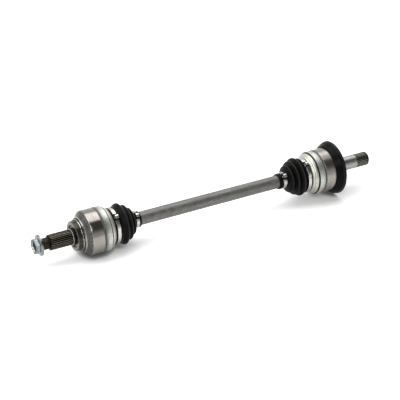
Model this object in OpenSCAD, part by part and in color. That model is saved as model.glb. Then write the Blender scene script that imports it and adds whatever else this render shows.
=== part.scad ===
// Rear drive axle with a fixed ball joint at the wheel end and a plunging ball joint at the
// differential end. Sizes are in millimetres. X runs along the axle from the wheel stub to the
// differential stub, +Z is up, and the origin is the centre of the hub shoulder face.

/* [Shaft] */
// Diameter of the bar between the joints
shaft_d = 28; // [27:0.5:29]
// Distance between the centres of the two joints
joint_spacing = 531; // [470:1:620]

/* [Balls and tracks] */
// Diameter of a drive ball
ball_d = 18; // [17:0.25:18.5]
// Diameter of the circle through the ball centres
ball_circle_d = 58; // [57:0.5:59]
// Radial room between a ball and its track
track_clearance = 0.85; // [0.8:0.05:0.9]

/* [Bells and boot caps] */
// Outside diameter of both bells
bell_d = 94; // [93:0.5:96]
// Outside diameter of the ring of each boot cap
cap_d = 93; // [92.5:0.5:94.5]
// Outside diameter of the neck that the large end of a boot sits on
neck_d = 68.4; // [68:0.2:69]
// Width of the ring of each boot cap
cap_ring_w = 13; // [11:0.5:14]

/* [Wheel stub] */
// Diameter over the wheel spline
wheel_spline_d = 32; // [30:0.5:33]
// Length of the wheel spline, from its front to the shoulder
wheel_spline_l = 54; // [46:1:60]
// Number of teeth on the wheel spline
wheel_spline_teeth = 27; // [24:1:33]
// Outside diameter of the thread for the axle nut
thread_d = 24; // [22:1:24]
// Length of the thread beyond the spline
thread_l = 25; // [22:1:28]
// Diameter of the machined hub behind the shoulder
hub_d = 61.6; // [58:0.2:63]
// Size of the axle nut across its flats
nut_flats = 30; // [30:1:34]
// Diameter of the flange on the axle nut
nut_flange_d = 43; // [40:1:44]

/* [Differential stub] */
// Diameter of the smooth journal, which the differential seal runs on
journal_d = 30; // [29:0.5:31]
// Length from the back of the bell to the end of the stub
diff_stub_l = 90.5; // [84:0.5:100]
// Length of the differential spline
diff_spline_l = 32; // [26:1:38]
// Number of teeth on the differential spline
diff_spline_teeth = 27; // [24:1:30]
// Outside diameter of the dust shield
shield_d = 116.4; // [110:0.2:120]

/* [Hidden] */
$fn = 96;
ball_count = 6;

shaft_r = shaft_d / 2;
ball_r = ball_d / 2;
circle_r = ball_circle_d / 2;
track_r = ball_r + track_clearance;
bell_r = bell_d / 2;
cap_r = cap_d / 2;
neck_r = neck_d / 2;
hub_r = hub_d / 2;
thread_r = thread_d / 2;
journal_r = journal_d / 2;
shield_r = shield_d / 2;

// Cage and inner race: spherical bands that turn inside each other with this gap
sphere_gap = 0.3;
cage_outer_r = circle_r + 4;
cage_inner_r = circle_r - 0.5;
cage_half_w = 13;
race_r = cage_inner_r - sphere_gap;
race_half_w = 11;
bore_r = cage_outer_r + sphere_gap;

// Stations along X
wheel_centre = 46;
diff_centre = wheel_centre + joint_spacing;
bell_front = 26;
wheel_mouth = 50;
wheel_cavity_floor = 22;
diff_mouth = diff_centre - 6;
shield_front = diff_centre + 16.5;
diff_cavity_floor = diff_centre + 30;
diff_bell_back = diff_centre + 35;
diff_end = diff_bell_back + diff_stub_l;
diff_spline_front = diff_end - diff_spline_l;

// Mouth of a bell, measured from the bell's edge towards the middle of the axle
seal_w = 4.2;
rim_r = bell_r - 2.5;
rim_l = 14;
sheet = 1.8;
cap_end = seal_w + cap_ring_w;
wheel_neck = 29;
diff_neck = 30.4;
neck_l = 10;

// Boots: each runs from its lip on the cap neck to its lip on the bar
boot_wall = 2.5;
boot_gap = 0.3;
seat_r = neck_r + boot_gap + boot_wall;
collar_r = shaft_r + 2;
// Ridges and valleys of each boot as [distance from the large lip, outside radius]
wheel_boot_outline = [
    [0, seat_r - 0.2], [1, seat_r + 0.4], [2.4, seat_r + 0.4], [3, seat_r],
    [10, seat_r], [11.6, seat_r + 1.6], [15, seat_r + 0.9],
    [25, 42.7], [32.5, 33.6], [37.6, 36.2], [43, 25.4], [47, 28.2],
    [53.6, collar_r], [61.2, collar_r], [61.8, collar_r + 0.7], [65, collar_r + 0.7], [66.2, collar_r]
];
diff_boot_outline = [
    [0, seat_r - 0.2], [1, seat_r + 0.4], [2.6, seat_r + 0.4], [3, seat_r],
    [10, seat_r], [11.2, seat_r + 0.6], [13.4, seat_r - 1.2],
    [21, 41.5], [27.2, 32.6], [32.6, 36.6], [37.8, 26], [43, 29.6],
    [51.2, collar_r], [60, collar_r], [60.8, collar_r + 0.9], [66.8, collar_r + 0.9], [68.4, collar_r]
];
wheel_large_seat = [3, 10];
wheel_small_seat = [54.2, 60.8];
diff_large_seat = [3, 10];
diff_small_seat = [52, 59.4];

// Clamps: the ear of each points up and towards -Y
clamp_gauge = 1;
ear_angle = 126;
ear_h = 6;

// The bar's splined ends, inside the inner races
bar_spline_r = 13.2;
bar_spline_depth = 0.9;
bar_teeth = 26;
clip_w = 1.6;
bar_tip = race_half_w + clip_w + 2.4;

// Colours
steel = [0.63, 0.62, 0.6];
dark_steel = [0.2, 0.2, 0.2];
bar_grey = [0.4, 0.4, 0.4];
zinc = [0.8, 0.84, 0.86];
black = [0.07, 0.07, 0.07];
bearing_steel = [0.75, 0.76, 0.78];

// ---- Helpers ----

// A solid turned about the X axis from [radius, x] points
module turned(points) {
    rotate([0, 90, 0])
        rotate_extrude()
            polygon(points);
}

// A plain tube about the X axis
module tube(inner, outer, from, to) {
    turned([[inner, from], [outer, from], [outer, to], [inner, to]]);
}

// Tooth outline of a spline with tips at radius r and roots depth below them
function spline_outline(r, depth, teeth) = [
    for (i = [0:teeth - 1])
        for (p = [[-0.30, r - depth], [-0.17, r], [0.17, r], [0.30, r - depth]])
            let (a = (i + p[0]) * 360 / teeth)
                [p[1] * cos(a), p[1] * sin(a)]
];

// A splined bar along X with chamfered ends
module spline_bar(r, depth, teeth, from, to, lead_in, lead_out) {
    intersection() {
        translate([from, 0, 0])
            rotate([0, 90, 0])
                linear_extrude(to - from)
                    polygon(spline_outline(r, depth, teeth));
        turned([
            [0, from], [r - lead_in, from], [r + 0.01, from + lead_in],
            [r + 0.01, to - lead_out], [r - lead_out, to], [0, to]
        ]);
    }
}

// Smooth curve through [distance, radius] points that is level at each of them
function eased(points, steps) = concat(
    [
        for (i = [0:len(points) - 2])
            for (k = [0:steps - 1])
                let (a = points[i], b = points[i + 1], t = k / steps)
                    [a[1] + (b[1] - a[1]) * (1 - cos(180 * t)) / 2, a[0] + (b[0] - a[0]) * t]
    ],
    [[points[len(points) - 1][1], points[len(points) - 1][0]]]
);

// Ball positions: the balls stand around X, evenly spaced
function ball_angle(i) = i * 360 / ball_count;

module round_the_ring() {
    for (i = [0:ball_count - 1])
        rotate([ball_angle(i), 0, 0])
            children();
}

// Places its children in the mouth of a bell, with X pointing to the middle of the axle
module in_wheel_mouth() {
    translate([wheel_mouth, 0, 0])
        children();
}

module in_diff_mouth() {
    translate([diff_mouth, 0, 0])
        mirror([1, 0, 0])
            children();
}

// ---- Pieces that both joints have ----

module ball(centre, i) {
    translate([centre, 0, 0])
        rotate([ball_angle(i), 0, 0])
            translate([0, 0, circle_r])
                sphere(ball_r);
}

// Ball tracks as arcs about the joint's centre, for a race or a fixed bell
module curved_tracks() {
    sweep = 80;
    round_the_ring()
        rotate([90, 0, 0])
            rotate([0, 0, 90 - sweep / 2])
                rotate_extrude(angle = sweep)
                    translate([circle_r, 0])
                        circle(track_r);
}

// Ball tracks that run straight along the bell
module straight_tracks(from, to) {
    round_the_ring()
        translate([from, 0, circle_r])
            rotate([0, 90, 0])
                cylinder(r = track_r, h = to - from);
}

module slab(half_w) {
    translate([-half_w, -80, -80])
        cube([2 * half_w, 160, 160]);
}

module inner_race() {
    difference() {
        intersection() {
            sphere(race_r);
            slab(race_half_w);
        }
        curved_tracks();
        translate([-race_half_w - 1, 0, 0])
            rotate([0, 90, 0])
                linear_extrude(2 * race_half_w + 2)
                    polygon(spline_outline(bar_spline_r + 0.08, bar_spline_depth, bar_teeth));
    }
}

module cage() {
    window_w = ball_d + 0.2;
    window_l = ball_d + 2.5;
    difference() {
        intersection() {
            sphere(cage_outer_r);
            slab(cage_half_w);
        }
        sphere(cage_inner_r);
        round_the_ring()
            translate([-window_w / 2, -window_l / 2, 10])
                cube([window_w, window_l, 40]);
    }
}

// Split ring about X, centred in its groove
module snap_ring(inner, outer, width, gap_angle) {
    rotate([0, 90, 0])
        rotate([0, 0, gap_angle / 2])
            rotate_extrude(angle = 360 - gap_angle)
                polygon([[inner, -width / 2], [outer, -width / 2], [outer, width / 2], [inner, width / 2]]);
}

module bell_seal() {
    turned([
        [rim_r + 0.1, 0], [bell_r - 0.8, 0], [bell_r - 0.3, 0.7], [bell_r, seal_w / 2],
        [bell_r - 0.3, seal_w - 0.7], [bell_r - 0.8, seal_w], [rim_r + 0.1, seal_w]
    ]);
}

// Pressed steel cap: a ring round the bell, a groove, a ribbed shoulder, and a neck for the boot
module boot_cap(neck) {
    shoulder_r = cap_r - 2.4;
    shoulder_l = neck - cap_end;
    lining_r = rim_r - 4.7;
    turned([
        [rim_r + 0.1, seal_w],
        [cap_r - 0.6, seal_w],
        [cap_r, seal_w + 0.6],
        [cap_r, cap_end - 1.2],
        [cap_r - 0.4, cap_end - 0.4],
        [cap_r - 1.2, cap_end],
        [shoulder_r - 2.6, cap_end + 0.2],
        [shoulder_r - 2.6, cap_end + 1.5],
        [shoulder_r - 0.2, cap_end + 1.9],
        [shoulder_r, cap_end + 2.3],
        [shoulder_r - 0.4, cap_end + 0.34 * shoulder_l],
        [shoulder_r - 1.6, cap_end + 0.37 * shoulder_l],
        [shoulder_r - 1.1, cap_end + 0.41 * shoulder_l],
        [shoulder_r - 2.6, cap_end + 0.6 * shoulder_l],
        [shoulder_r - 4, cap_end + 0.62 * shoulder_l],
        [shoulder_r - 3.5, cap_end + 0.66 * shoulder_l],
        [neck_r + 4, neck - 1.2],
        [neck_r + 2.4, neck - 0.4],
        [neck_r, neck],
        [neck_r, neck + neck_l],
        [neck_r - sheet, neck + neck_l],
        [neck_r - sheet, neck - 0.8],
        [neck_r + 2.6 - sheet, neck - 1.8],
        [lining_r - 0.6, cap_end + 0.4 * shoulder_l],
        [lining_r, cap_end + 0.2 * shoulder_l],
        [lining_r, rim_l + 0.2],
        [rim_r + 0.1, rim_l + 0.2]
    ]);
}

// Rubber boot, drawn with its large lip at x = 0
module boot(outline) {
    outer = eased(outline, 6);
    inner = [
        for (i = [len(outer) - 1:-1:0])
            [max(outer[i][0] - boot_wall, shaft_r + boot_gap), outer[i][1]]
    ];
    turned(concat(outer, inner));
}

// Ear clamp: a flat band with one pinched ear
module ear_clamp(inner, seat) {
    outer = inner + clamp_gauge;
    width = seat[1] - seat[0];
    ear_w = 9;
    translate([seat[0], 0, 0]) {
        tube(inner, outer, 0, width);
        rotate([ear_angle - 90, 0, 0])
            rotate([90, 0, 90])
                linear_extrude(width)
                    difference() {
                        polygon([
                            [-ear_w / 2 - 1.6, inner + 0.4], [-ear_w / 2, outer + 0.8],
                            [-ear_w / 2 + 1.2, outer + ear_h - 1], [-ear_w / 2 + 2.2, outer + ear_h],
                            [ear_w / 2 - 2.2, outer + ear_h], [ear_w / 2 - 1.2, outer + ear_h - 1],
                            [ear_w / 2, outer + 0.8], [ear_w / 2 + 1.6, inner + 0.4]
                        ]);
                        polygon([
                            [-ear_w / 2 + 1, outer + 0.1], [-ear_w / 2 + 2.4, outer + ear_h - 1.2],
                            [ear_w / 2 - 2.4, outer + ear_h - 1.2], [ear_w / 2 - 1, outer + 0.1]
                        ]);
                    }
    }
}

// ---- Shaft and what is fixed to it ----

module bar_end_groove(x) {
    tube(bar_spline_r - 1.4, bar_spline_r + 5, x - clip_w / 2 - 0.05, x + clip_w / 2 + 0.05);
}

module axle_shaft() {
    wheel_shoulder = wheel_centre + race_half_w;
    diff_shoulder = diff_centre - race_half_w;
    color(bar_grey)
        difference() {
            union() {
                turned([
                    [0, wheel_shoulder], [shaft_r - 0.6, wheel_shoulder], [shaft_r, wheel_shoulder + 0.6],
                    [shaft_r, diff_shoulder - 0.6], [shaft_r - 0.6, diff_shoulder], [0, diff_shoulder]
                ]);
                spline_bar(bar_spline_r, bar_spline_depth, bar_teeth,
                    wheel_centre - bar_tip, wheel_shoulder + 0.5, 1, 0.01);
                spline_bar(bar_spline_r, bar_spline_depth, bar_teeth,
                    diff_shoulder - 0.5, diff_centre + bar_tip, 0.01, 1);
            }
            bar_end_groove(wheel_centre - race_half_w - clip_w / 2);
            bar_end_groove(diff_centre + race_half_w + clip_w / 2);
        }
}

module shaft_circlip(x) {
    color(bearing_steel)
        translate([x, 0, 0])
            snap_ring(bar_spline_r - 1.35, bar_spline_r + 1.4, clip_w, 40);
}

module wheel_inner_race() {
    color(bearing_steel)
        translate([wheel_centre, 0, 0])
            inner_race();
}

module diff_inner_race() {
    color(bearing_steel)
        translate([diff_centre, 0, 0])
            inner_race();
}

module wheel_shaft_circlip() {
    shaft_circlip(wheel_centre - race_half_w - clip_w / 2);
}

module diff_shaft_circlip() {
    shaft_circlip(diff_centre + race_half_w + clip_w / 2);
}

module wheel_small_clamp() {
    color(steel)
        in_wheel_mouth()
            translate([wheel_neck, 0, 0])
                ear_clamp(collar_r + boot_gap, wheel_small_seat);
}

module diff_small_clamp() {
    color(steel)
        in_diff_mouth()
            translate([diff_neck, 0, 0])
                ear_clamp(collar_r + boot_gap, diff_small_seat);
}

// ---- Wheel joint ----

module wheel_ball(i) {
    color(bearing_steel)
        ball(wheel_centre, i);
}

module wheel_cage() {
    color(bearing_steel)
        translate([wheel_centre, 0, 0])
            cage();
}

// Turned grooves that stand for the thread, between its end and the spline
module thread_bar(from, to) {
    pitch = 1.5;
    depth = 0.8;
    centre_hole_r = 4.6;
    turns = floor((to - from - 4) / pitch);
    turned(concat(
        [
            [0, from + 9], [centre_hole_r, from + 9], [centre_hole_r, from + 1], [centre_hole_r + 0.6, from],
            [thread_r - 1, from], [thread_r, from + 1]
        ],
        [
            for (i = [0:turns - 1])
                for (p = [[0, 0.15], [depth, 0.4], [depth, 0.6], [0, 0.85]])
                    [thread_r - p[0], from + 1 + (i + p[1]) * pitch]
        ],
        [[thread_r, from + 1 + turns * pitch], [thread_r - 1, to - 1.4], [thread_r - 1, to + 1], [0, to + 1]]
    ));
}

module wheel_bell() {
    root_l = 4.3;
    root_r = wheel_spline_d / 2 + 1.2;
    groove_r = 23;
    groove_depth = 2.2;
    color(steel)
        difference() {
            union() {
                thread_bar(-wheel_spline_l - thread_l, -wheel_spline_l);
                spline_bar(wheel_spline_d / 2, 1.2, wheel_spline_teeth, -wheel_spline_l, 0, 3, 0.01);
                turned([
                    [0, -root_l], [root_r - 0.8, -root_l], [root_r, -root_l + 0.8],
                    [root_r, groove_depth], [groove_r - 0.5, groove_depth], [groove_r, groove_depth - 0.5],
                    [groove_r, 0.7], [groove_r + 0.7, 0], [hub_r - 1.2, 0], [hub_r, 1.2], [hub_r, 8.4], [hub_r + 0.6, 8.8], [hub_r + 2.2, 9.2],
                    [hub_r + 2.4, 9.6], [hub_r + 2.4, 11], [hub_r + 1.2, 11.3], [hub_r + 1.2, 12.5],
                    [hub_r + 4, 12.8], [hub_r + 4.4, 13.2], [hub_r + 4.4, 14.8], [hub_r + 5, 15.4],
                    [bell_r - 3.6, bell_front - 4.6], [bell_r - 1.6, bell_front - 2.6],
                    [bell_r - 0.4, bell_front - 0.6], [bell_r, bell_front + 1.4],
                    [bell_r, wheel_mouth - 0.4], [bell_r - 0.4, wheel_mouth], [rim_r, wheel_mouth],
                    [rim_r, wheel_mouth + rim_l], [0, wheel_mouth + rim_l]
                ]);
            }
            intersection() {
                translate([wheel_centre, 0, 0]) {
                    sphere(bore_r);
                    curved_tracks();
                }
                translate([wheel_cavity_floor, -80, -80])
                    cube([80, 160, 160]);
            }
        }
}

module wheel_bell_seal() {
    color([0.3, 0.3, 0.29])
        in_wheel_mouth()
            bell_seal();
}

module wheel_boot_cap() {
    color(zinc)
        in_wheel_mouth()
            boot_cap(wheel_neck);
}

module wheel_boot() {
    color(black)
        in_wheel_mouth()
            translate([wheel_neck, 0, 0])
                boot(wheel_boot_outline);
}

module wheel_large_clamp() {
    color(steel)
        in_wheel_mouth()
            translate([wheel_neck, 0, 0])
                ear_clamp(seat_r + boot_gap, wheel_large_seat);
}

// Flanged nut: a hexagon with chamfered corners on a tapered flange, countersunk at both ends
module axle_nut() {
    end = -wheel_spline_l - thread_l - 4;
    hex_l = 8.6;
    flange_l = 5.2;
    corner_r = nut_flats / 2 / cos(30);
    back = end + hex_l + flange_l;
    color(zinc)
        difference() {
            union() {
                intersection() {
                    translate([end, 0, 0])
                        rotate([0, 90, 0])
                            cylinder(r = corner_r, h = hex_l + 1, $fn = 6);
                    turned([
                        [0, end], [corner_r - 1.8, end], [corner_r + 0.01, end + 1.2],
                        [corner_r + 0.01, end + hex_l + 1], [0, end + hex_l + 1]
                    ]);
                }
                turned([
                    [0, end + hex_l - 1.5], [corner_r - 2.4, end + hex_l - 1.5],
                    [nut_flange_d / 2 - 0.8, end + hex_l + 1], [nut_flange_d / 2, end + hex_l + 1.6],
                    [nut_flange_d / 2, back - 0.5], [nut_flange_d / 2 - 0.5, back], [0, back]
                ]);
            }
            turned([
                [0, end - 1], [thread_r + 2.2, end - 1], [thread_r + 1.9, end], [thread_r + 0.1, end + 3.4],
                [thread_r + 0.1, back - 1.2], [thread_r + 1.2, back], [thread_r + 2, back + 1], [0, back + 1]
            ]);
        }
}

// ---- Differential joint ----

module diff_ball(i) {
    color(bearing_steel)
        ball(diff_centre, i);
}

module diff_cage() {
    color(bearing_steel)
        translate([diff_centre, 0, 0])
            cage();
}

module diff_bell() {
    shield_seat_r = bell_r - 1.2;
    ring_groove = diff_end - 4.6;
    color(steel)
        difference() {
            union() {
                turned([
                    [0, diff_mouth - rim_l], [rim_r, diff_mouth - rim_l], [rim_r, diff_mouth],
                    [bell_r - 0.4, diff_mouth], [bell_r, diff_mouth + 0.4], [bell_r, shield_front - 0.4],
                    [bell_r - 0.4, shield_front], [shield_seat_r, shield_front],
                    [shield_seat_r, diff_bell_back - 1.5], [shield_seat_r - 1.5, diff_bell_back],
                    [journal_r + 6, diff_bell_back], [journal_r + 4.6, diff_bell_back + 0.6],
                    [journal_r + 4, diff_bell_back + 3], [journal_r + 1.6, diff_bell_back + 4],
                    [journal_r, diff_bell_back + 5.5],
                    [journal_r, diff_spline_front - 0.6], [journal_r - 0.6, diff_spline_front],
                    [journal_r - 0.6, diff_spline_front + 0.2], [0, diff_spline_front + 0.2]
                ]);
                difference() {
                    spline_bar(journal_r, 1.1, diff_spline_teeth, diff_spline_front, diff_end, 0.6, 2.2);
                    tube(journal_r - 1.7, journal_r + 2, ring_groove - 0.85, ring_groove + 0.85);
                }
            }
            translate([diff_mouth - rim_l - 1, 0, 0])
                rotate([0, 90, 0])
                    cylinder(r = bore_r, h = diff_cavity_floor - diff_mouth + rim_l + 1);
            straight_tracks(diff_mouth - rim_l - 1, diff_cavity_floor - 1.5);
        }
}

module diff_bell_seal() {
    color([0.3, 0.3, 0.29])
        in_diff_mouth()
            bell_seal();
}

module diff_boot_cap() {
    color(zinc)
        in_diff_mouth()
            boot_cap(diff_neck);
}

module diff_boot() {
    color(black)
        in_diff_mouth()
            translate([diff_neck, 0, 0])
                boot(diff_boot_outline);
}

module diff_large_clamp() {
    color(steel)
        in_diff_mouth()
            translate([diff_neck, 0, 0])
                ear_clamp(seat_r + boot_gap, diff_large_seat);
}

// Flared shield that throws dirt clear of the differential seal: a collar, a cone and a rolled rim
module dust_shield() {
    bore = bell_r - 1.1;
    gauge = 2;
    collar_end = shield_front + 10;
    bend = shield_front + 12.4;
    rim = shield_front + 18.5;
    color(black)
        turned([
            [bore, shield_front + 0.1], [bell_r + 1, shield_front + 0.1], [bell_r + 1.8, shield_front + 0.5],
            [bell_r + 3, shield_front + 2], [shield_r - 3, bend - 1], [shield_r - 2, bend],
            [shield_r - 0.5, rim - 1], [shield_r, rim], [shield_r, rim + 0.8], [shield_r - 0.6, rim + 1.4],
            [shield_r - gauge, rim + 1.2], [shield_r - gauge - 0.6, rim + 0.2],
            [shield_r - gauge - 2.2, bend + 1], [shield_r - gauge - 3.4, bend], [bell_r + 1.2, shield_front + 4.6],
            [bell_r + 1, shield_front + 6], [bell_r + 1, collar_end], [bore, collar_end]
        ]);
}

module stub_circlip() {
    color(dark_steel)
        translate([diff_end - 4.6, 0, 0])
            snap_ring(journal_r - 1.65, journal_r - 0.05, 1.6, 50);
}

axle_shaft();
wheel_inner_race();
diff_inner_race();
wheel_shaft_circlip();
diff_shaft_circlip();
wheel_small_clamp();
diff_small_clamp();
wheel_cage();
wheel_bell();
wheel_bell_seal();
wheel_boot_cap();
wheel_boot();
wheel_large_clamp();
axle_nut();
diff_cage();
diff_bell();
diff_bell_seal();
diff_boot_cap();
diff_boot();
diff_large_clamp();
dust_shield();
stub_circlip();
for (i = [0:ball_count - 1]) {
    wheel_ball(i);
    diff_ball(i);
}
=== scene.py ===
"""Rear drive axle: materials, boots, clamps, stage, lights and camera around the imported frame.
Blender works in metres, in the CAD frame: X along the axle, +Z up, origin on the hub shoulder.
Stations along X, radii and outlines are written in mm, and MM turns them into metres."""

import math

import bmesh
import bpy
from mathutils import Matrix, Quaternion, Vector


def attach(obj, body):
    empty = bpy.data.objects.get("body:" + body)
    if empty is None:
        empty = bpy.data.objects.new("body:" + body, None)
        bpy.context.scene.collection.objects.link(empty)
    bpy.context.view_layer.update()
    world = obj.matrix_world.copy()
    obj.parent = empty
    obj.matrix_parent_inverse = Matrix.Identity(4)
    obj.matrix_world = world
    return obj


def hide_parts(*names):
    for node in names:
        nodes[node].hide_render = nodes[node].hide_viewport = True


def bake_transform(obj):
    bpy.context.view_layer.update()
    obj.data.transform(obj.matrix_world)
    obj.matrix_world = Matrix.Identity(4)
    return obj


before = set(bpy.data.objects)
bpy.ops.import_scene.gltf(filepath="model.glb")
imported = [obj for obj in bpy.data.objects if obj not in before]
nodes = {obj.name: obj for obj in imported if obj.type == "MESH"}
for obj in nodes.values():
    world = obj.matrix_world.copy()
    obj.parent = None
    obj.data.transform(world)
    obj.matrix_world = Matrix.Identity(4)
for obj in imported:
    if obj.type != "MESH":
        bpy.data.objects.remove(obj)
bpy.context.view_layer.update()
scene = bpy.context.scene
MM = 0.001

# ---- Material helper ----


class Finish:
    """A Principled material whose colour, roughness and bump come from procedural nodes."""

    def __init__(self, name, **sockets):
        self.material = bpy.data.materials.new(name)
        self.material.use_nodes = True
        self.tree = self.material.node_tree
        self.shader = self.tree.nodes["Principled BSDF"]
        for socket, value in sockets.items():
            self.shader.inputs[socket.replace("_", " ")].default_value = value
        self.place = self.add("TexCoord").outputs["Object"]

    def add(self, kind, inputs=(), **settings):
        node = self.tree.nodes.new("ShaderNode" + kind)
        for key, value in settings.items():
            setattr(node, key, value)
        for key, value in dict(inputs).items():
            if isinstance(value, bpy.types.NodeSocket):
                self.tree.links.new(value, node.inputs[key])
            else:
                node.inputs[key].default_value = value
        return node

    def set(self, socket, value):
        self.tree.links.new(value, self.shader.inputs[socket])

    def math(self, operation, a, b):
        return self.add("Math", {0: a, 1: b}, operation=operation).outputs[0]

    def scaled(self, vector, scale):
        node = self.add("VectorMath", {0: vector, 1: scale}, operation="MULTIPLY")
        return node.outputs[0]

    def noise(self, vector, scale, detail=2.0, roughness=0.5):
        """Noise with about scale cells to the metre."""
        inputs = {"Vector": vector, "Scale": scale, "Detail": detail, "Roughness": roughness}
        return self.add("TexNoise", inputs).outputs["Fac"]

    def along(self):
        return self.add("SeparateXYZ", {0: self.place}).outputs[0]

    def radius(self):
        across = self.scaled(self.place, (0, 1, 1))
        return self.add("VectorMath", {0: across}, operation="LENGTH").outputs["Value"]

    def lathe(self):
        """(distance along X, distance from X), so a pattern runs in rings as turning leaves it."""
        return self.add("CombineXYZ", {0: self.along(), 1: self.radius()}).outputs[0]

    def range(self, value, low, high, to_low, to_high):
        inputs = {0: value, 1: low, 2: high, 3: to_low, 4: to_high}
        return self.add("MapRange", inputs).outputs[0]

    def relief(self, root, tip, root_value, tip_value):
        """Another value in the roots of teeth or threads than on their tips. Radii are in mm."""
        return self.range(self.radius(), root * MM, tip * MM, root_value, tip_value)

    def mix(self, factor, a, b, mode="MIX"):
        a, b = ((*colour, 1) if isinstance(colour, tuple) else colour for colour in (a, b))
        inputs = {0: factor, 6: a, 7: b}
        return self.add("Mix", inputs, data_type="RGBA", blend_type=mode).outputs[2]

    def multiply(self, a, b):
        return self.mix(1.0, a, b, "MULTIPLY")

    def fade(self, value, low, high, a, b, amount=1.0):
        """Colour a where value is under low, and going over to b, as far as amount, at high."""
        return self.mix(self.range(value, low, high, 0.0, amount), a, b)

    def zones(self, span, stops):
        """Constant values along X, each from its station on: [(station, colour or value), ...].
        span is the stretch of stations that the stops lie in."""
        start, end = span
        place = self.range(self.along(), start * MM, end * MM, 0.0, 1.0)
        node = self.add("ValToRGB", {0: place})
        node.color_ramp.interpolation = "CONSTANT"
        points = node.color_ramp.elements
        while len(points) < len(stops):
            points.new(0.5)
        for point, (station, value) in zip(points, stops):
            point.position = (station - start) / (end - start)
            point.color = (*((value,) * 3 if isinstance(value, float) else value), 1)
        return node.outputs["Color"]

    def past(self, span, station):
        """0 before the station and 1 after it."""
        return self.zones(span, [(span[0], 0.0), (station, 1.0)])

    def roughness(self, *terms):
        """Adds up its terms. Each is a socket, or (value, low, high, result at low, at high)."""
        total = None
        for term in terms:
            part = self.range(*term) if isinstance(term, tuple) else term
            total = part if total is None else self.math("ADD", total, part)
        self.set("Roughness", total)

    def bump(self, *heights):
        """Each height is (value, strength, depth in metres), laid one over another."""
        normal = None
        for value, strength, depth in heights:
            inputs = {"Height": value, "Strength": strength, "Distance": depth}
            if normal is not None:
                inputs["Normal"] = normal
            normal = self.add("Bump", inputs).outputs[0]
        self.set("Normal", normal)


# ---- Materials ----

PLAIN = (1.0, 1.0, 1.0)


def turned_metal(name, light, dark, depth=1.2e-5):
    """Machined metal: fine tool rings, broader bands, and faint handling stains.
    Returns the finish and, for the caller to set, its colour, rings and stains."""
    f = Finish(name, Metallic=1.0, Anisotropic=0.6, Anisotropic_Rotation=0.25)
    rings = f.noise(f.lathe(), 2400.0, 2.0, 0.6)
    bands = f.noise(f.lathe(), 330.0, 3.0, 0.6)
    stains = f.noise(f.place, 45.0, 4.0, 0.62)
    speckle = f.noise(f.place, 420.0, 4.0, 0.7)
    tone = f.fade(bands, 0.3, 0.7, dark, light)
    tone = f.fade(speckle, 0.5, 0.72, tone, tuple(c * 0.7 for c in dark), 0.5)
    tone = f.fade(stains, 0.5, 0.78, tone, tuple(c * 0.62 for c in dark), 0.35)
    f.bump((rings, 0.35, depth), (bands, 0.2, depth * 2))
    f.set("Tangent", f.add("Tangent", direction_type="RADIAL", axis="X").outputs[0])
    return f, tone, rings, stains


def wheel_bell_finish():
    """One forging with several finishes: phosphated thread and spline, turned hub, satin bell."""
    f, bell, _, _ = turned_metal(
        "machined_wheel_bell", (0.28, 0.26, 0.236), (0.21, 0.195, 0.177)
    )
    span = (-80, 60)
    spline, collar, bell_front = -54.2, -4.4, 25.6
    rows = [  # station, colour, roughness
        (-80, (0.1, 0.105, 0.11), 0.5),  # end face
        (-78.4, (0.05, 0.046, 0.038), 0.5),  # thread
        (spline, (0.03, 0.028, 0.023), 0.4),  # run-in of the spline
        (-50.8, (0.05, 0.046, 0.039), 0.4),  # spline
        (-4.6, (0.24, 0.235, 0.22), 0.2),  # corner of the collar behind it
        (-3.2, (0.1, 0.093, 0.08), 0.3),  # collar
        (-0.1, (0.08, 0.078, 0.068), 0.3),  # shoulder face of the hub
        (1.3, (0.042, 0.042, 0.036), 0.36),  # hub
        (8.7, (0.3, 0.29, 0.28), 0.22),  # first step
        # Painted shade: the groove between the steps is near black
        (11.1, (0.03, 0.03, 0.03), 0.5),  # groove between the steps
        (12.7, (0.3, 0.29, 0.28), 0.22),  # second step
        (15.2, (0.09, 0.086, 0.084), 0.4),  # cone up to the bell
        # Painted highlight: the front edge is lighter than the cone, for a bright line along the
        # chamfer
        (24.3, (0.27, 0.265, 0.25), 0.22),  # front edge of the bell
        (bell_front, PLAIN, 0.21),
    ]
    zone = f.zones(span, [(station, colour) for station, colour, _ in rows])
    # Painted shade: the centre hole, the roots of the thread and of the spline, and the collar and
    # groove in the hub's shoulder face are darker the deeper they go
    hole = f.relief(5.0, 5.4, 0.06, 1.0)
    teeth = f.relief(15.0, 15.9, 0.1, 2.3)
    thread = f.relief(11.3, 11.9, 0.4, 1.5)
    depth = f.mix(f.past(span, spline), f.math("MULTIPLY", hole, thread), teeth)
    depth = f.mix(f.past(span, collar), depth, f.relief(22.9, 23.2, 0.5, 1.0))
    grain = f.noise(f.place, 900.0, 3.0, 0.6)
    mottle = f.noise(f.place, 270.0, 3.0, 0.65)
    coat = f.multiply(
        f.fade(grain, 0.3, 0.75, (0.7, 0.7, 0.7), (1.3, 1.3, 1.3)),
        f.fade(mottle, 0.35, 0.65, (0.62, 0.62, 0.6), (1.3, 1.3, 1.24)),
    )
    coated = f.multiply(f.multiply(zone, depth), coat)
    f.set("Base Color", f.mix(f.past(span, bell_front), coated, bell))
    rough = f.zones(span, [(station, value) for station, _, value in rows])
    f.roughness(rough, (grain, 0.2, 0.8, -0.06, 0.08))
    return f.material


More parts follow.
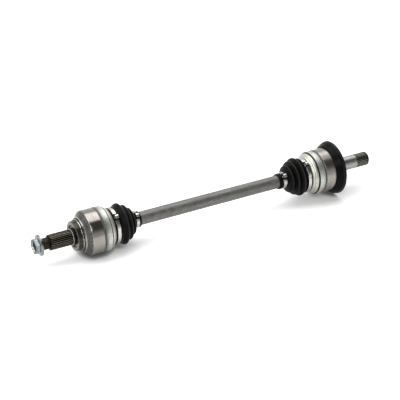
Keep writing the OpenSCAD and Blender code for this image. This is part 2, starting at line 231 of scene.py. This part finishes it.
def diff_bell_finish():
    """Satin bell, bright ground journal and a greyer spline."""
    f, bell, _, _ = turned_metal("machined_diff_bell", (0.3, 0.277, 0.25), (0.23, 0.212, 0.19))
    span = (550, 710)
    ground, end_face = (1.1, 1.19, 1.26), 702.3
    rows = [  # station, tint of the bell's colour, roughness
        (550, PLAIN, 0.28),
        (613, ground, 0.28),  # back of the bell, under the shield
        (617, ground, 0.36),  # foot of the journal, and the journal
        (670.3, (0.6, 0.62, 0.62), 0.36),  # spline
        (end_face, (0.7, 0.7, 0.7), 0.3),
    ]
    zone = f.zones(span, [(station, tint) for station, tint, _ in rows])
    is_spline = f.zones(span, [(550, 0.0), (670.6, 1.0), (end_face, 0.0)])
    # Painted shade: the spline's teeth are darker in their roots than on their tips
    teeth = f.mix(is_spline, PLAIN, f.relief(14.0, 14.9, 0.05, 1.3))
    f.set("Base Color", f.multiply(f.multiply(bell, zone), teeth))
    grain = f.noise(f.place, 900.0, 3.0, 0.6)
    rough = f.zones(span, [(station, value) for station, _, value in rows])
    f.roughness(rough, (grain, 0.2, 0.8, -0.05, 0.07))
    return f.material


def bearing_finish():
    """Ground and hardened steel of the races, cages, balls and snap rings."""
    f, tone, rings, stains = turned_metal(
        "bearing_steel", (0.7, 0.71, 0.72), (0.6, 0.61, 0.62), 4e-6
    )
    f.set("Base Color", tone)
    f.roughness((rings, 0.25, 0.75, 0.11, 0.22), (stains, 0.45, 0.75, 0.0, 0.12))
    return f.material


def zinc_finish(name, light, dark, rough, grain, span, shades):
    """Bright zinc plate. shades are zones that tint it along X, within the span."""
    f = Finish(name, Metallic=1.0)
    cloud = f.noise(f.place, 70.0, 4.0, 0.6)
    spangle = f.noise(f.place, grain, 3.0, 0.65)
    rings = f.noise(f.lathe(), 1300.0, 2.0, 0.6)
    tone = f.fade(cloud, 0.3, 0.7, tuple(c * 0.8 for c in light), light)
    tone = f.fade(spangle, 0.48, 0.68, tone, dark, 0.8)
    lines = f.range(f.noise(f.lathe(), 420.0, 2.0, 0.6), 0.38, 0.6, 0.68, 1.06)
    f.set("Base Color", f.multiply(f.multiply(tone, lines), f.zones(span, shades)))
    f.roughness((spangle, 0.3, 0.7, rough, rough + 0.13), (cloud, 0.4, 0.8, 0.0, 0.08))
    f.bump((spangle, 0.3, 3e-5), (rings, 0.25, 1.6e-5))
    return f.material


def nut_finish():
    """Darker zinc plate, with painted shade that makes the end face darker than the flange."""
    return zinc_finish(
        "zinc_plate", (0.27, 0.29, 0.295), (0.045, 0.055, 0.06), 0.2, 330.0,
        (-90, -60), [(-90, (0.45, 0.46, 0.47)), (-82.6, PLAIN)],
    )


def cap_finish():
    """Zinc plate with painted shade in the groove behind each ring and in the fine lines of the
    shoulder.
    """
    corner, ring, shoulder = (0.6, 0.61, 0.56), PLAIN, (1.25, 1.22, 1.17)
    # Painted shade: the dark grooves behind the rings and the dark fine lines of the shoulder
    groove_shade, groove, line = (0.12, 0.12, 0.11), (0.2, 0.21, 0.19), (0.42, 0.42, 0.4)
    return zinc_finish(
        "cap_zinc_plate", (0.54, 0.55, 0.515), (0.24, 0.26, 0.245), 0.38, 420.0,
        (50, 600),
        [
            (50, corner), (54.8, ring), (67.0, groove_shade), (68.6, shoulder), (72.4, line),
            (73.4, shoulder), (540.2, shoulder), (546.4, line), (548.0, shoulder),
            (552.0, groove), (553.2, ring), (566.4, corner),
        ],
    )


def clamp_finish():
    """Stainless strap, with painted shade on the legs of the ear, where they are folded, and on the
    strap beside the ear.
    """
    f = Finish("clamp_steel", Metallic=1.0, Anisotropic=0.4)
    brushed = f.noise(f.lathe(), 2600.0, 2.0, 0.6)
    worn = f.noise(f.place, 160.0, 4.0, 0.6)
    ear_shade = f.add("Attribute", attribute_name="ear_shade").outputs["Fac"]
    tone = f.fade(worn, 0.4, 0.7, (0.52, 0.5, 0.465), (0.42, 0.4, 0.375))
    # Painted shade: the ear's legs and the strap beside the ear are near black
    f.set("Base Color", f.mix(ear_shade, tone, (0.012, 0.012, 0.012)))
    f.roughness((brushed, 0.25, 0.75, 0.16, 0.28), (worn, 0.4, 0.75, 0.0, 0.1))
    f.bump((brushed, 0.25, 8e-6))
    return f.material


def rubber_finish():
    """Moulded boot rubber: satin black with a fine skin grain, dusty and with a painted sheen on
    the crests of the folds.
    """
    f = Finish("boot_rubber", Specular_IOR_Level=0.055)
    skin = f.noise(f.place, 2200.0, 3.0, 0.6)
    flow = f.noise(f.lathe(), 500.0, 3.0, 0.6)
    bloom = f.noise(f.place, 60.0, 4.0, 0.62)
    tone = f.fade(bloom, 0.42, 0.72, (0.0018, 0.0019, 0.0017), (0.0038, 0.004, 0.0036))
    crest = f.add("Attribute", attribute_name="crest").outputs["Fac"]
    # The crests are lighter: partly dusty, partly a painted sheen
    crest_dust_and_sheen = f.math("MULTIPLY", crest, f.range(skin, 0.3, 0.7, 0.5, 1.0))
    f.set("Base Color", f.mix(crest_dust_and_sheen, tone, (0.06, 0.062, 0.056)))
    f.roughness((bloom, 0.35, 0.7, 0.33, 0.45), (skin, 0.3, 0.7, -0.04, 0.05))
    f.bump((skin, 0.25, 2.5e-5), (flow, 0.25, 3e-5))
    return f.material


def seal_finish():
    """Grey-black sealing ring with a matt skin."""
    f = Finish("seal_rubber")
    skin = f.noise(f.place, 1800.0, 3.0, 0.6)
    bloom = f.noise(f.place, 120.0, 4.0, 0.6)
    f.set("Base Color", f.fade(bloom, 0.35, 0.7, (0.03, 0.028, 0.026), (0.065, 0.06, 0.056)))
    f.roughness((skin, 0.3, 0.7, 0.42, 0.58))
    f.bump((skin, 0.3, 3e-5))
    return f.material


def coat_finish():
    """Black coat on steel: satin, with a slight orange peel, and lighter on the shield's rim as a
    painted sheen.
    """
    f = Finish("black_coat", Specular_IOR_Level=0.055)
    peel = f.noise(f.place, 500.0, 2.0, 0.5)
    cloud = f.noise(f.place, 50.0, 4.0, 0.6)
    tone = f.fade(cloud, 0.35, 0.7, (0.001, 0.001, 0.0011), (0.0022, 0.0022, 0.0024))
    rim = f.relief(56.2, 56.8, 0.0, 1.0)
    f.set("Base Color", f.mix(rim, tone, (0.009, 0.009, 0.0093)))
    f.roughness((cloud, 0.35, 0.7, 0.22, 0.32), (peel, 0.3, 0.7, -0.03, 0.03))
    f.bump((peel, 0.18, 3e-5))
    return f.material


def bar_finish():
    """Induction-hardened bar: dark scale with faint lines along it and small lighter scuffs."""
    f = Finish("bar_steel", Metallic=0.85)
    lines = f.noise(f.scaled(f.place, (7.0, 170.0, 170.0)), 4.0, 4.0, 0.65)
    mottle = f.noise(f.place, 120.0, 5.0, 0.66)
    pits = f.noise(f.place, 1500.0, 2.0, 0.6)
    tone = f.fade(mottle, 0.35, 0.68, (0.11, 0.108, 0.101), (0.168, 0.165, 0.156))
    f.set("Base Color", f.fade(lines, 0.52, 0.75, tone, (0.3, 0.295, 0.29), 0.55))
    f.roughness((mottle, 0.3, 0.7, 0.46, 0.57), (lines, 0.4, 0.7, 0.03, -0.05))
    f.bump((pits, 0.2, 2e-5), (lines, 0.15, 2e-5))
    return f.material


FINISH = {
    "wheel_bell": wheel_bell_finish(),
    "diff_bell": diff_bell_finish(),
    "zinc": nut_finish(),
    "cap": cap_finish(),
    "clamp": clamp_finish(),
    "rubber": rubber_finish(),
    "seal": seal_finish(),
    "coat": coat_finish(),
    "bar": bar_finish(),
    "bearing": bearing_finish(),
}
# Every CAD node that isn't listed is a part of a bearing
CAD_FINISH = {
    "axle_shaft": "bar", "wheel_bell": "wheel_bell", "diff_bell": "diff_bell",
    "wheel_boot_cap": "cap", "diff_boot_cap": "cap", "axle_nut": "zinc",
    "wheel_bell_seal": "seal", "diff_bell_seal": "seal", "dust_shield": "coat",
    "stub_circlip": "coat", "wheel_boot": "rubber", "diff_boot": "rubber",
    "wheel_large_clamp": "clamp", "wheel_small_clamp": "clamp",
    "diff_large_clamp": "clamp", "diff_small_clamp": "clamp",
}
for name, node in nodes.items():
    node.data.materials.clear()
    node.data.materials.append(FINISH[CAD_FINISH.get(name, "bearing")])

# ---- Mesh helpers ----


def piece(name, points, faces, finish, crisp_degrees):
    """A new object from points in mm, smooth but for edges sharper than crisp_degrees."""
    mesh = bpy.data.meshes.new(name)
    mesh.from_pydata([tuple(c * MM for c in p) for p in points], [], faces)
    mesh.validate()
    bm = bmesh.new()
    bm.from_mesh(mesh)
    bmesh.ops.recalc_face_normals(bm, faces=bm.faces)
    for face in bm.faces:
        face.smooth = True
    for edge in bm.edges:
        folded = len(edge.link_faces) == 2
        edge.smooth = not (folded and edge.calc_face_angle(0.0) > math.radians(crisp_degrees))
    bm.to_mesh(mesh)
    bm.free()
    mesh.materials.append(finish)
    obj = bpy.data.objects.new(name, mesh)
    scene.collection.objects.link(obj)
    return obj


def ring_mesh(loop, segments, offset):
    """A closed loop of (x, r) points turned about X. offset(angle, r) is added to r."""
    points, faces = [], []
    for k in range(segments):
        angle = 2 * math.pi * k / segments
        for x, r in loop:
            out = r + offset(angle, r)
            points.append((x, out * math.cos(angle), out * math.sin(angle)))
    n = len(loop)
    for k in range(segments):
        here, there = k * n, (k + 1) % segments * n
        for i in range(n):
            j = (i + 1) % n
            faces.append((here + i, here + j, there + j, there + i))
    return points, faces


# ---- Boots ----

LIP_R = 37.0
COLLAR_R = 16.0
WALL = 2.3
BORE_R = 14.3
SEGMENTS = 144
# Ridges and valleys of each boot as (distance from the large lip, outside radius)
WHEEL_BOOT = [
    (0, 36.8), (1, 37.4), (2.4, 37.4), (3, 37.0), (10, 37.0), (11.6, 38.6), (15, 37.9),
    (25, 42.7), (32.5, 33.6), (37.6, 36.2), (43, 25.4), (47, 28.2),
    (53.6, 16), (61.2, 16), (61.8, 16.7), (65, 16.7), (66.2, 16),
]
DIFF_BOOT = [
    (0, 36.8), (1, 37.4), (2.6, 37.4), (3, 37.0), (10, 37.0), (11.2, 37.6), (13.4, 35.8),
    (21, 41.5), (27.2, 32.6), (32.6, 36.6), (37.8, 26), (43, 29.6),
    (51.2, 16), (60, 16), (60.8, 16.9), (66.8, 16.9), (68.4, 16),
]
FOLD_STEP = 2.5  # a smaller change of radius is an even slope, a larger one the side of a fold
FOLD_ROUNDNESS = 1.35
LIP_END = 20  # folds are further than this from the large lip
COLLAR_TOP = 27  # and their crests have a larger radius than this
CREST_WIDTH = 0.5
SEAM_ANGLE, SEAM_HEIGHT, SEAM_WIDTH = 0.2, 0.22, 0.5  # of the mould's parting line


def boot_curve(outline, steps=14):
    """Outside of a boot: full round ridges and tighter valleys."""
    curve = []
    for (v0, r0), (v1, r1) in zip(outline, outline[1:]):
        for k in range(steps):
            t = k / steps
            if abs(r1 - r0) < FOLD_STEP:
                ease = (1 - math.cos(math.pi * t)) / 2
            elif r1 > r0:
                ease = math.sin(math.pi / 2 * t) ** FOLD_ROUNDNESS
            else:
                ease = 1 - math.cos(math.pi / 2 * t) ** FOLD_ROUNDNESS
            curve.append((v0 + (v1 - v0) * t, r0 + (r1 - r0) * ease))
    curve.append(outline[-1])
    return curve


def radius_at(curve, x):
    for (x0, r0), (x1, r1) in zip(curve, curve[1:]):
        if min(x0, x1) <= x <= max(x0, x1):
            return r0 + (r1 - r0) * (x - x0) / (x1 - x0)
    return curve[-1][1]


def parting_line(angle, r):
    """The fine raised seam along both sides of the outside."""
    spread = min(abs(math.sin(angle - SEAM_ANGLE)), 0.2)
    return SEAM_HEIGHT * math.exp(-((spread * r / SEAM_WIDTH) ** 2)) if BORE_R + 3 < r else 0.0


def mark_crests(obj, stations):
    """Vertices near the top of a ridge, on the outside, get an attribute that the rubber uses."""
    values = obj.data.attributes.new("crest", "FLOAT", "POINT").data
    for vertex in obj.data.vertices:
        x, r = vertex.co.x / MM, math.hypot(vertex.co.y, vertex.co.z) / MM
        near = max((math.exp(-(((x - s) / CREST_WIDTH) ** 2)) for s in stations), default=0.0)
        values[vertex.index].value = near if r > COLLAR_TOP else 0.0


def boot_pieces(prefix, outline, lip, direction, cuts, bodies, cad_node):
    """Cuts a boot into lengths between its cuts.
    lip is the station of the large lip, direction the way to the small end, and cuts the stations
    between the lengths, from the large end. bodies is [(body at the large side, body at the small
    side, where the blend starts at the large side, where it ends)]; only its count is used, and the
    bodies and stations in it are not used."""
    outer = [(lip + direction * v, r) for v, r in boot_curve(outline)]
    crests = [
        lip + direction * v
        for (_, before), (v, r), (_, after) in zip(outline, outline[1:], outline[2:])
        if v > LIP_END and before < r > after
    ]
    edges = [outer[0][0]] + cuts + [outer[-1][0]]
    for k, (body_a, body_b, start, end) in enumerate(bodies):
        first, last = edges[k], edges[k + 1]
        low, high = sorted((first, last))
        inside = [p for p in outer if low + 1e-6 < p[0] < high - 1e-6]
        skin = [(first, radius_at(outer, first))] + inside + [(last, radius_at(outer, last))]
        loop = skin + [(x, max(r - WALL, BORE_R)) for x, r in reversed(skin)]
        points, faces = ring_mesh(loop, SEGMENTS, parting_line)
        obj = piece(f"{prefix}_{k + 1}", points, faces, FINISH["rubber"], 60.0)
        mark_crests(obj, crests)
        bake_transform(obj)
        if k == 0:
            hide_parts(cad_node)


boot_pieces(
    "wheel_boot_part", WHEEL_BOOT, 79.0, 1, [108.0],
    [
        ("wheel_side", "wheel_cage_body", 89.0, 108.0),
        ("wheel_cage_body", "shaft", 108.0, 126.0),
    ],
    "wheel_boot",
)
boot_pieces(
    "diff_boot_part", DIFF_BOOT, 540.6, -1, [519.6, 508.0],
    [
        ("diff_side", "diff_boot_body", 530.6, 519.6),
        ("diff_boot_body", "diff_cage_body", 519.6, 508.0),
        ("diff_cage_body", "shaft", 508.0, 494.0),
    ],
    "diff_boot",
)

# ---- Ear clamps ----

GAUGE = 0.9
LAYER_GAP = 0.05
SEAT_GAP = 0.3  # between a boot's seat and the strap
INNER_ARC = 2 * math.pi - 0.42  # that the strap's first layer covers
STEP_POINTS = 14
EAR_FOOT = 5.9
# Half the ear in section: (across, height over the outer layer), from its foot to its top
EAR = [
    (6.2, 0.0), (5.0, 0.1), (3.6, 0.5), (2.6, 1.3), (2.3, 2.2), (2.8, 3.1), (3.5, 3.9),
    (3.5, 4.6), (2.9, 5.1), (1.5, 5.3), (0.0, 5.35),
]
# Rings of a hook: (height over the strap, size), and where the hooks stand on the outer end
HOOK = [(-0.2, 1.3), (0.55, 1.0), (0.8, 0.4)]
HOOK_PLACES = (0.38, 0.66)


def overlap(degrees, inner):
    """An overlap of the strap's ends, as an angle: shorter on a larger clamp."""
    return math.radians(degrees) * 26 / (inner + 6)


def swept_strap(path, x_mid, width):
    """A flat strap with eased edges along a path of (y, z) points."""
    edge = 0.32 * GAUGE
    half_w, half_g = width / 2, GAUGE / 2
    section = [
        (-half_w, -half_g + edge), (-half_w + edge, -half_g),
        (half_w - edge, -half_g), (half_w, -half_g + edge),
        (half_w, half_g - edge), (half_w - edge, half_g),
        (-half_w + edge, half_g), (-half_w, half_g - edge),
    ]
    points, faces = [], []
    n = len(section)
    for i, (y, z) in enumerate(path):
        y0, z0 = path[max(i - 1, 0)]
        y1, z1 = path[min(i + 1, len(path) - 1)]
        length = math.hypot(y1 - y0, z1 - z0)
        ny, nz = (z1 - z0) / length, -(y1 - y0) / length
        for across, out in section:
            points.append((x_mid + across, y + ny * out, z + nz * out))
    for i in range(len(path) - 1):
        for j in range(n):
            a, b = i * n + j, i * n + (j + 1) % n
            faces.append((a, b, b + n, a + n))
    faces.append(tuple(range(n - 1, -1, -1)))
    faces.append(tuple(range((len(path) - 1) * n, len(path) * n)))
    return points, faces


def add_hook(points, faces, polar, angle, top, x_mid, width):
    """A hook of the inner end, which stands through a slot in the outer end."""
    base = len(points)
    for height, size in HOOK:
        for side, turn in ((-1, -1), (1, -1), (1, 1), (-1, 1)):
            y, z = polar(angle + turn * size * 0.8 / top, top + height)
            points.append((x_mid + side * (width * 0.16 + size * 0.3), y, z))
    for ring in range(len(HOOK) - 1):
        for j in range(4):
            a, b = base + ring * 4 + j, base + ring * 4 + (j + 1) % 4
            faces.append((a, b, b + 4, a + 4))
    faces.append(tuple(base + 8 + j for j in range(4)))
    faces.append(tuple(base + j for j in (3, 2, 1, 0)))


def mark_ear_shade(obj, ear_angle, outer_layer):
    """Vertices on the ear's legs and feet get an attribute that the clamp's finish paints dark as
    shade.
    """
    c, s = math.cos(ear_angle), math.sin(ear_angle)
    values = obj.data.attributes.new("ear_shade", "FLOAT", "POINT").data
    for vertex in obj.data.vertices:
        y, z = vertex.co.y / MM, vertex.co.z / MM
        out, across = y * c + z * s, z * c - y * s
        leg = outer_layer + 0.6 < out < outer_layer + 4.4 and abs(across) < 6.4
        beside = -9.0 < across < -2.4 or 2.4 < across < 6.4
        foot = beside and 0 < out < outer_layer + 1.5
        values[vertex.index].value = 1.0 if leg or foot else 0.0


def ear_clamp(name, seat_r, x_from, x_to, ear_degrees, body, cad_node):
    """A stepless clamp: one strap that overlaps itself, with a pinched ear.
    ear_degrees is the ear's place, from +Y to +Z."""
    inner = seat_r + SEAT_GAP
    ear_angle = math.radians(ear_degrees)
    width, x_mid = x_to - x_from, (x_from + x_to) / 2
    inner_layer = inner + GAUGE / 2
    outer_layer = inner_layer + GAUGE + LAYER_GAP

    def polar(angle, radius):
        return (radius * math.cos(ear_angle + angle), radius * math.sin(ear_angle + angle))

    start, tail = overlap(34, inner), overlap(38, inner)
    path = [polar(start - INNER_ARC * k / 140, inner_layer) for k in range(141)]
    # Up over the strap's own inner end, to the foot of the ear
    last, foot = start - INNER_ARC, EAR_FOOT / outer_layer
    for k in range(1, STEP_POINTS + 1):
        t = k / STEP_POINTS
        rise = min(t / 0.35, 1.0)
        radius = inner_layer + (outer_layer - inner_layer) * rise * rise * (3 - 2 * rise)
        path.append(polar(last + (foot - 2 * math.pi - last) * t, radius))
    c, s = math.cos(ear_angle), math.sin(ear_angle)
    for across, height in EAR + [(-a, h) for a, h in reversed(EAR[:-1])]:
        out = outer_layer + height
        path.append((out * c - across * s, out * s + across * c))
    for k in range(1, STEP_POINTS + 1):
        path.append(polar(-foot - tail * k / STEP_POINTS, outer_layer))

    points, faces = swept_strap(path, x_mid, width)
    for place in HOOK_PLACES:
        top = outer_layer + GAUGE / 2
        add_hook(points, faces, polar, -foot - tail * place, top, x_mid, width)
    obj = piece(name, points, faces, FINISH["clamp"], 40.0)
    mark_ear_shade(obj, ear_angle, outer_layer)
    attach(obj, body)
    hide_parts(cad_node)


ear_clamp("wheel_large_clamp_strap", LIP_R, 82.0, 89.0, 126, "wheel_side", "wheel_large_clamp")
ear_clamp("wheel_small_clamp_strap", COLLAR_R, 133.2, 139.8, 126, "shaft", "wheel_small_clamp")
ear_clamp("diff_large_clamp_strap", LIP_R, 530.6, 537.6, 118, "diff_side", "diff_large_clamp")
ear_clamp("diff_small_clamp_strap", COLLAR_R, 481.2, 488.6, 126, "shaft", "diff_small_clamp")

# ---- Stage, lights and camera ----

# Where the axle stands on the floor, as (x, z): under the wheel bell and under the dust shield
BELL_FOOT, SHIELD_FOOT = (0.05, -0.0471), (0.6128, -0.0583)
FLOOR_HALF = 9.0
CONTACT_REACH = 0.014


def floor_finish():
    f = Finish("floor_paper", Specular_IOR_Level=0.0, Roughness=0.9, Emission_Strength=0.1)
    paper = f.noise(f.place, 400.0, 3.0, 0.6)
    tone = f.mix(paper, (0.94, 0.94, 0.94), (0.97, 0.97, 0.97))
    # Painted contact shadow: within CONTACT_REACH of what stands on it, the floor's colour and glow
    # darken, as under a soft fill only the contacts are dark
    open_sky = f.add("AmbientOcclusion", {"Distance": CONTACT_REACH}).outputs["AO"]
    tone = f.multiply(tone, f.fade(open_sky, 0.3, 0.8, (0.3, 0.3, 0.3), PLAIN))
    f.set("Base Color", tone)
    f.set("Emission Color", tone)
    return f.material


def floor():
    """A pale floor that the wheel bell and the dust shield both rest on."""
    h = FLOOR_HALF
    mesh = bpy.data.meshes.new("floor")
    mesh.from_pydata([(-h, -h, 0), (h, -h, 0), (h, h, 0), (-h, h, 0)], [], [(0, 1, 2, 3)])
    mesh.materials.append(floor_finish())
    obj = bpy.data.objects.new("floor", mesh)
    scene.collection.objects.link(obj)
    (x0, z0), (x1, z1) = BELL_FOOT, SHIELD_FOOT
    obj.location = ((x0 + x1) / 2, 0, (z0 + z1) / 2)
    obj.rotation_euler = (0, math.atan2(z0 - z1, x1 - x0), 0)


floor()


def softbox(name, place, target, size, watts):
    light = bpy.data.lights.new(name, "AREA")
    light.shape = "RECTANGLE"
    light.size, light.size_y = size
    light.energy = watts
    obj = bpy.data.objects.new(name, light)
    scene.collection.objects.link(obj)
    obj.location = place
    obj.rotation_euler = (Vector(target) - Vector(place)).to_track_quat("-Z", "Y").to_euler()


AXLE_MIDDLE = (0.31, 0, 0)
softbox("top_box", (-0.375, 0.7, 2.1), (-0.375, 0.7, 0.0), (3.65, 2.3), 66.0)
softbox("far_box", (1.95, 1.35, 2.1), (1.95, 1.35, 0.0), (1.0, 1.2), 8.5)
softbox("front_box", (-1.3, -1.7, 1.9), AXLE_MIDDLE, (1.6, 1.6), 36.0)
softbox("left_box", (-2.4, -1.2, 1.0), AXLE_MIDDLE, (1.2, 1.0), 7.0)


def studio_room():
    """White walls behind and low down, and a dark ceiling over the camera."""
    world = bpy.data.worlds.new("studio")
    scene.world = world
    world.use_nodes = True
    background = world.node_tree.nodes["Background"]
    links, make = world.node_tree.links, world.node_tree.nodes.new

    def eased_range(value, *numbers):
        """numbers are low, high, result at low, result at high."""
        node = make("ShaderNodeMapRange")
        node.interpolation_type = "SMOOTHSTEP"
        for socket, number in enumerate(numbers, 1):
            node.inputs[socket].default_value = number
        links.new(value, node.inputs[0])
        return node.outputs[0]

    toward = make("ShaderNodeSeparateXYZ")
    links.new(make("ShaderNodeTexCoord").outputs["Generated"], toward.inputs[0])
    behind = eased_range(toward.outputs[1], -0.3, 0.25, 0.0, 1.0)
    front_brightness = eased_range(toward.outputs[2], 0.1, 0.6, 0.85, 0.08)
    room = make("ShaderNodeMix")
    links.new(behind, room.inputs[0])
    links.new(front_brightness, room.inputs[2])
    room.inputs[3].default_value = 1.1
    links.new(room.outputs[0], background.inputs["Strength"])
    background.inputs["Color"].default_value = (1, 1, 1, 1)


studio_room()

AZIMUTH, ELEVATION, ROLL = (math.radians(a) for a in (-28.63, 29.06, -0.09))
DISTANCE = 2.687
AIM = Vector((0.2867, 0.0, 0.0055))
camera = bpy.data.objects.new("camera", bpy.data.cameras.new("camera"))
scene.collection.objects.link(camera)
camera.data.sensor_width = 36.0
camera.data.lens = 117.05
camera.data.clip_end = 50.0
camera.location = AIM + DISTANCE * Vector((
    math.sin(AZIMUTH) * math.cos(ELEVATION),
    -math.cos(AZIMUTH) * math.cos(ELEVATION),
    math.sin(ELEVATION),
))
look = (AIM - camera.location).to_track_quat("-Z", "Y")
camera.rotation_euler = (look @ Quaternion((0, 0, 1), ROLL)).to_euler()
scene.camera = camera
scene.view_settings.view_transform = "Standard"
scene.view_settings.look = "None"
